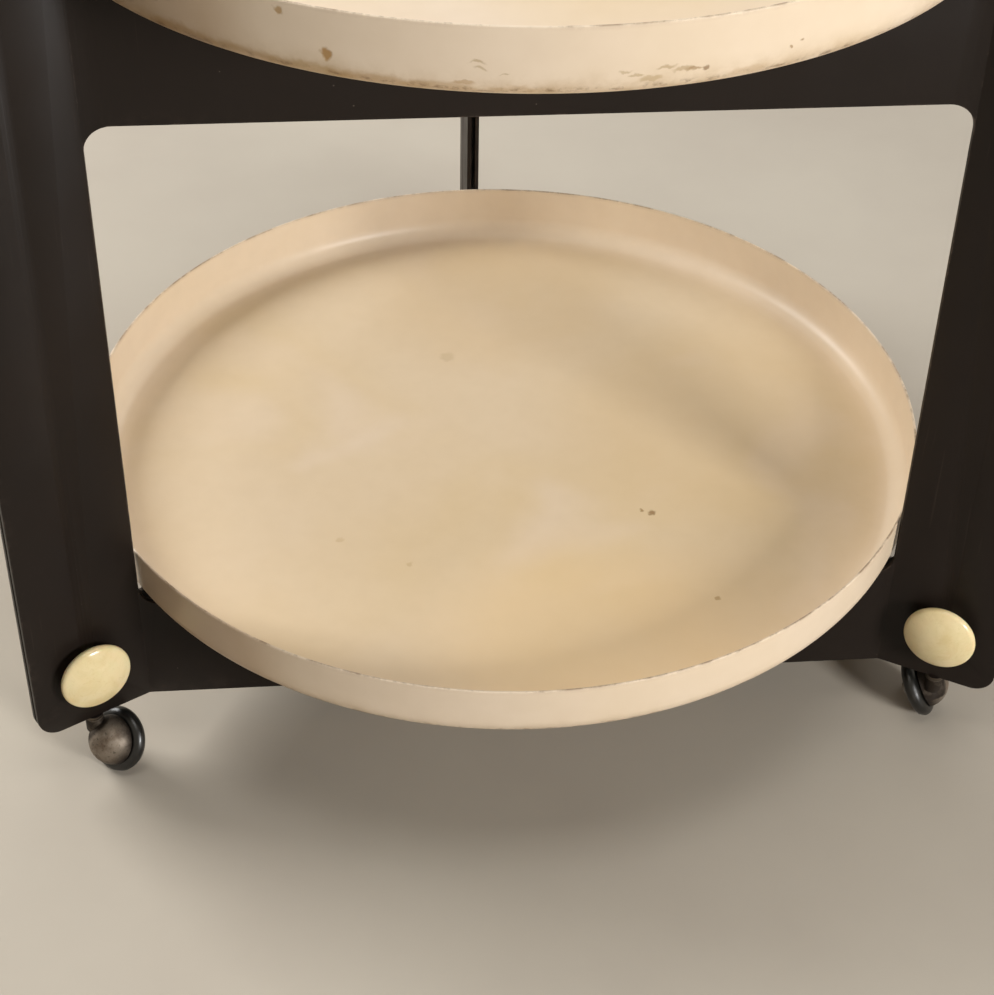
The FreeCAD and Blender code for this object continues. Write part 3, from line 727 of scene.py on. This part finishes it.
def worn_plating(name, tint, patina):
    """Dull plated steel with brown patches, dark pits, small dents, and darkening by an attribute: painted shade
    at a hood's edge, darker round its boss.
    """
    material, tree, shader = new_material(name)
    place = add(tree, "TexCoord", out="Object")
    blotch = add(tree, "TexNoise", {"Vector": place, "Scale": per(BLOTCH_SIZE), "Detail": 7.0,
                                    "Roughness": 0.65})
    brown = add(tree, "MapRange", {"Value": blotch, "From Min": 0.46, "From Max": 0.66,
                                   "To Max": patina})
    tone = add(tree, "Mix", {SHARE: brown, UNDER: linear(tint), OVER: linear(PATINA)}, **COLOURS)
    pits = add(tree, "TexNoise", {"Vector": place, "Scale": per(PIT_SIZE), "Detail": 4.0,
                                  "Roughness": 0.6})
    pits = add(tree, "MapRange", {"Value": pits, "From Min": 0.58, "From Max": 0.72, "To Max": 0.8})
    tone = add(tree, "Mix", {SHARE: pits, UNDER: tone, OVER: linear(DARK_PATINA_AND_SHADE)}, **COLOURS)
    # Painted shade along a hood's open edge, and darkening round its swivel boss, both read from an attribute.
    edge_shade_and_boss = add(tree, "Attribute", attribute_name="edge_shade_and_boss", out="Fac")
    patchy = add(tree, "MapRange", {"Value": blotch, "From Min": 0.3, "From Max": 0.6, "To Min": 0.7,
                                 "To Max": 1.15})
    edge_shade_and_boss = add(tree, "Math", {0: edge_shade_and_boss, 1: patchy}, operation="MULTIPLY", use_clamp=True)
    tone = add(tree, "Mix", {SHARE: edge_shade_and_boss, UNDER: tone, OVER: linear(DARK_PATINA_AND_SHADE)}, **COLOURS)
    tree.links.new(tone, shader.inputs["Base Color"])
    metal = add(tree, "MapRange", {"Value": brown, "To Min": 0.75, "To Max": 0.3})
    tree.links.new(metal, shader.inputs["Metallic"])
    rough = add(tree, "MapRange", {"Value": blotch, "From Min": 0.3, "From Max": 0.7, "To Min": 0.5,
                                   "To Max": 0.7})
    tree.links.new(rough, shader.inputs["Roughness"])
    dents = add(tree, "Bump", {"Height": blotch, "Strength": 0.35, "Distance": DENT_DEPTH})
    dents = add(tree, "Bump", {"Height": pits, "Strength": 0.4, "Distance": PIT_DEPTH,
                               "Normal": dents}, invert=True)
    tree.links.new(dents, shader.inputs["Normal"])
    print(name, len(tree.nodes), "nodes")
    return material


plating = worn_plating("worn_plating", STEEL_GREY, 0.9)

# %% [markdown]
# ## Black rubber
# The tyres are moulded rubber: a satin black that dust turns grey and dull in patches. The grain of
# the mould is drawn coarser than it is, because the real one would be too fine to show.

# %% Black rubber
RUBBER, RUBBER_DUSTY = "#12110F", "#2E2A25"
DUST_SIZE, GRAIN_SIZE, GRAIN_DEPTH = 7, 0.8, 0.05 * MM


def black_rubber():
    """Satin black rubber, greyed by dust."""
    material, tree, shader = new_material("black_rubber", IOR=1.52)
    place = add(tree, "TexCoord", out="Object")
    dust = add(tree, "TexNoise", {"Vector": place, "Scale": per(DUST_SIZE), "Detail": 6.0,
                                  "Roughness": 0.7})
    dust = add(tree, "MapRange", {"Value": dust, "From Min": 0.5, "From Max": 0.8, "To Max": 0.5})
    tone = add(tree, "Mix", {SHARE: dust, UNDER: linear(RUBBER), OVER: linear(RUBBER_DUSTY)},
               **COLOURS)
    tree.links.new(tone, shader.inputs["Base Color"])
    rough = add(tree, "MapRange", {"Value": dust, "From Max": 0.5, "To Min": 0.3, "To Max": 0.6})
    tree.links.new(rough, shader.inputs["Roughness"])
    grain = add(tree, "TexNoise", {"Vector": place, "Scale": per(GRAIN_SIZE), "Detail": 3.0})
    bump = add(tree, "Bump", {"Height": grain, "Strength": 0.3, "Distance": GRAIN_DEPTH})
    tree.links.new(bump, shader.inputs["Normal"])
    print("black_rubber", len(tree.nodes), "nodes")
    return material


rubber = black_rubber()

# %% [markdown]
# ## Ball casters
# A ball caster has a domed hood over a tilted wheel. The tyre is a ring with a half-round tread and
# a thin flash line where the two halves of its mould met. It is turned again, because its solid has
# few faces, and its place and size are measured from that solid, along the axle. The hood is a copy
# of its solid, and each of its points is told how dark it is painted: darker round the swivel boss,
# and painted shade near the open edge.

# %% Tyres and hoods
FLASH_LINE, FLASH_WIDTH = 0.12 * MM, 0.35 * MM
TYRE_TURNS = 160
# EDGE_DARK is how far the painted shade reaches from the hood's open edge.
BOSS_DARK, BOSS_CLEAR, EDGE_DARK = 8 * MM, 11 * MM, 11 * MM


def tyre_profile(inner, outer, low, high):
    """Bore, flat sides and a half-round tread with a raised line at its middle."""
    tread = (high - low) / 2
    angle = np.radians(np.linspace(-90, 90, 41))
    reach = tread - FLASH_LINE + FLASH_LINE * np.exp(-(angle * tread / FLASH_WIDTH) ** 2)
    half_round = np.column_stack((outer - tread + reach * np.cos(angle),
                                  (low + high) / 2 + reach * np.sin(angle)))
    return np.vstack((
        run((inner, high), (inner, low), 5)[:-1],
        run((inner, low), half_round[0], 3)[:-1],
        half_round,
        run(half_round[-1], (inner, high), 3)[1:-1],
    ))


def hood_darkening(points, pivot, centre, axle):
    """Smooth steps: dark round the swivel boss, painted shade near the hood's open edge, clear on the dome."""
    from_boss = np.linalg.norm((points - pivot)[:, :2], axis=1)
    dome = (points - centre) @ axle
    dome = dome * np.sign(dome.mean())
    boss = smooth_step(BOSS_CLEAR, BOSS_DARK, from_boss) * (points[:, 2] > centre[2])
    # The band near the open edge is painted shade: a dark reflection where the dome turns from the light.
    return np.maximum(boss, smooth_step(dome.min() + EDGE_DARK, dome.min(), dome))


for fin in FINS:
    spin = joints["wheel_" + fin + "_spin"]
    centre, axle = np.array(spin["pos_m"]), np.array(spin["axis"]) / np.linalg.norm(spin["axis"])
    from_centre = points_of(nodes["tyre_" + fin].data) - centre
    along = from_centre @ axle
    radius = np.linalg.norm(from_centre - np.outer(along, axle), axis=1)
    profile = tyre_profile(radius.min(), radius.max(), along.min(), along.max())
    grid = lathe(profile, TYRE_TURNS, centre, axle)
    tyre = make_piece("tyre_" + fin + "_rubber", grid, rubber, ring=True)
    stand_for(tyre, "tyre_" + fin)
    pivot = np.array(joints["swivel_" + fin + "_turn"]["pos_m"])
    softened_copy("hood_" + fin, plating, "hood_" + fin + "_plated",
                  {"edge_shade_and_boss": lambda points: hood_darkening(points, pivot, centre, axle)})
    print("caster", fin, "tyre", round(2 * radius.max() / MM, 1), "mm across")

# %% [markdown]
# ## Small hardware
# Brackets are lacquered with the panels down to their collar, and bare below it. Washers are steel,
# dark with oil, and the knobs' inserts are turned brass. Axles, clips, spacers and studs are zinc
# plated, a paler and bluer grey than the hoods. Their solids are right as they are and only take a
# finish, and the plating's nodes serve for each metal with another colour.

# %% Small hardware
BRASS, ZINC, OILED = "#B08A4A", "#9C9A95", "#5F564C"
COLLAR_LINE = 0.3 * MM
zinc = worn_plating("zinc_plated_steel", ZINC, 0.5)
brass = worn_plating("turned_brass", BRASS, 0.4)
collar = black_lacquer("lacquered_bracket", panel_foot - COLLAR_LINE)
oiled = worn_plating("oiled_steel", OILED, 0.9)
finishes = {"bracket_": collar, "hub_": plating, "knob_inserts": brass, "washer_": oiled}
for node, solid in nodes.items():
    if node not in dressed:
        finish = next((f for prefix, f in finishes.items() if node.startswith(prefix)), zinc)
        solid.data.materials.clear()
        solid.data.materials.append(finish)
print(len(nodes) - len(dressed), "solids finished as they are")

# %% [markdown]
# ## Studio
# The cart stands on a pale seamless floor that curves up all round. Near the cart the floor takes
# light and shadow. Further away it turns into an even backdrop, for what sees it directly or in
# gloss only, so that every view has the same plain background and no light is added to the cart.

# %% Floor
FLOOR, FLOOR_PATCH, BACKDROP = "#BAB1A2", "#B2A89A", "#C6BDAD"
FLOOR_FLAT, FLOOR_CURVE, FLOOR_TURNS = 3.2, 1.6, 96
NEAR_FLOOR, FAR_FLOOR = 0.9, 1.6
FLOOR_CLOUD = 260


def seen_directly(tree):
    """1 for light seen straight on, in gloss or through glass, 0 for light that falls on things."""
    path = add(tree, "LightPath").node
    seen = path.outputs["Is Camera Ray"]
    for ray in ("Is Glossy Ray", "Is Transmission Ray"):
        seen = add(tree, "Math", {0: seen, 1: path.outputs[ray]}, operation="MAXIMUM")
    return seen


def floor_paper():
    """Pale matt paper with faint broad clouds, and an even backdrop far from the cart."""
    material, tree, shader = new_material("floor_paper", Roughness=0.9, Specular_IOR_Level=0.1)
    place = add(tree, "TexCoord", out="Object")
    cloud = add(tree, "TexNoise", {"Vector": place, "Scale": per(FLOOR_CLOUD), "Detail": 5.0,
                                   "Roughness": 0.55})
    cloud = add(tree, "MapRange", {"Value": cloud, "From Min": 0.35, "From Max": 0.7})
    tone = add(tree, "Mix", {SHARE: cloud, UNDER: linear(FLOOR), OVER: linear(FLOOR_PATCH)},
               **COLOURS)
    tree.links.new(tone, shader.inputs["Base Color"])
    distance = add(tree, "VectorMath", {0: place}, out="Value", operation="LENGTH")
    far = add(tree, "MapRange", {"Value": distance, "From Min": NEAR_FLOOR, "From Max": FAR_FLOOR},
              **SMOOTH)
    far = add(tree, "Math", {0: far, 1: seen_directly(tree)}, operation="MULTIPLY")
    even = add(tree, "Emission", {"Color": linear(BACKDROP)})
    mixed = add(tree, "MixShader", {0: far, 1: shader.outputs[0], 2: even})
    tree.links.new(mixed, tree.nodes["Material Output"].inputs["Surface"])
    return material


sweep = np.vstack((
    run((0, 0), (FLOOR_FLAT, 0), 24),
    arc((FLOOR_FLAT, FLOOR_CURVE), FLOOR_CURVE, -90, 0, 16)[1:],
))
floor_grid = lathe(sweep, FLOOR_TURNS, (0, 0, 0), (0, 0, 1))[::-1]
floor = make_piece("studio_floor", floor_grid, floor_paper())
print("floor", 2 * (FLOOR_FLAT + FLOOR_CURVE), "m across")

# %% [markdown]
# The camera looks down at the cart from the front, as in the photograph. Its place is given in
# millimetres from the trays' axis and the panels' lower edge, and its aim in degrees.

# %% Camera
CAMERA_PLACE = (-105.0, -1052.4, 901.9)
CAMERA_YAW, CAMERA_PITCH, CAMERA_ROLL = 5.553, 39.469, -1.248
CAMERA_LENS, CAMERA_SENSOR = 75.418, 36.0


def aim(obj, yaw, pitch, roll):
    """Looks along (sin yaw cos pitch, cos yaw cos pitch, -sin pitch), rolled about that line."""
    yaw, pitch, roll = (math.radians(angle) for angle in (yaw, pitch, roll))
    level = Vector((math.sin(yaw), math.cos(yaw), 0))
    ahead = math.cos(pitch) * level - math.sin(pitch) * Vector((0, 0, 1))
    right = Vector((math.cos(yaw), -math.sin(yaw), 0))
    down = ahead.cross(right)
    side = math.cos(roll) * right + math.sin(roll) * down
    foot = math.cos(roll) * down - math.sin(roll) * right
    turn = Matrix((side, -foot, -ahead)).transposed()
    obj.matrix_world = Matrix.Translation(obj.location) @ turn.to_4x4()


lens = bpy.data.cameras.new("camera")
lens.lens, lens.sensor_width, lens.sensor_fit = CAMERA_LENS, CAMERA_SENSOR, "HORIZONTAL"
camera = bpy.data.objects.new("camera", lens)
bpy.context.scene.collection.objects.link(camera)
camera.location = Vector(CAMERA_PLACE) * MM + Vector((tray_axis.x, tray_axis.y, panel_foot))
aim(camera, CAMERA_YAW, CAMERA_PITCH, CAMERA_ROLL)
bpy.context.scene.camera = camera
print("camera at", [round(v, 3) for v in camera.location])

# %% [markdown]
# Four soft boxes light the cart: one overhead for the trays, a small one at the front right whose
# edge draws the shapes, a broad one at the rear left that lays the sheen in the trays' corners, and
# a weak one behind. The air adds a little even light, and shows the backdrop's colour where it is
# seen. Each box is a place in metres, a width and a power in watts.

# %% Lights
SOFT_BOXES = {
    "overhead": ((0.0, -0.25, 2.4), 1.4, 25.0),
    "front_right": ((1.28, -1.70, 0.82), 0.5, 40.0),
    "rear_left": ((-1.66, 0.85, 1.42), 1.1, 50.0),
    "rear": ((0.31, 1.77, 1.51), 1.1, 8.0),
}
AIM_POINT = Vector((0, 0, 0.25))
AIR, AIR_STRENGTH = "#E8E2D6", 0.05
for name, (place, size, watts) in SOFT_BOXES.items():
    lamp = bpy.data.lights.new(name, "AREA")
    lamp.shape, lamp.size, lamp.energy = "SQUARE", size, watts
    box = bpy.data.objects.new(name, lamp)
    bpy.context.scene.collection.objects.link(box)
    box.location = place
    box.visible_camera = False
    box.rotation_euler = (AIM_POINT - box.location).to_track_quat("-Z", "Y").to_euler()

world = bpy.data.worlds.new("studio_air")
world.use_nodes = True
air = world.node_tree
dim = air.nodes["Background"]
dim.inputs["Color"].default_value = linear(AIR)
dim.inputs["Strength"].default_value = AIR_STRENGTH
even = add(air, "Background", {"Color": linear(BACKDROP), "Strength": 1.0})
mixed = add(air, "MixShader", {0: seen_directly(air), 1: dim.outputs[0], 2: even})
air.links.new(mixed, air.nodes["World Output"].inputs["Surface"])
bpy.context.scene.world = world
bpy.context.scene.view_settings.view_transform = "Standard"
print(len(SOFT_BOXES), "soft boxes,", sum(watts for _, _, watts in SOFT_BOXES.values()), "W")
